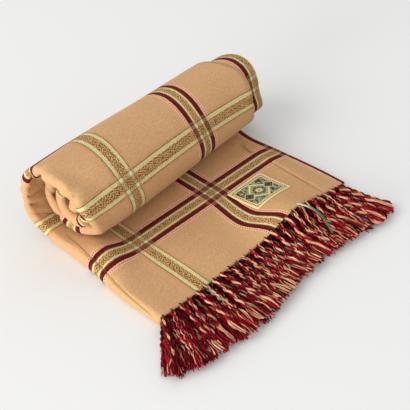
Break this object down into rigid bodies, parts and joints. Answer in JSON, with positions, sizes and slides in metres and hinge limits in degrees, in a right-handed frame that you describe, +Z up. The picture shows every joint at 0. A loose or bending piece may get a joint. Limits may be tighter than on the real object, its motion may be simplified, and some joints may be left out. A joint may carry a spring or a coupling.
{
  "type": "travel rug",
  "caption": "Fringed check wool travel rug, folded lengthwise into a long stack and rolled up, with its fringed tail laid out flat and a sewn label near the fringe.",
  "frame": {"origin": "under the middle of the part's box, on the surface it rests on", "axes": "+X along the roll, from the plump left folds to the right ones; +Y from the fringe towards the roll; +Z up"},
  "size_m": [0.4617, 0.3882, 0.1419],
  "materials": {
    "rug_cloth": "matte",
    "label": "matte",
    "fringe": "matte"
  },
  "bodies": {
    "root": {"rug_cloth": "rug_cloth", "label": "label", "fringe_under": "fringe", "fringe_third": "fringe", "fringe_second": "fringe", "fringe_top": "fringe"}
  },
  "joints": []
}
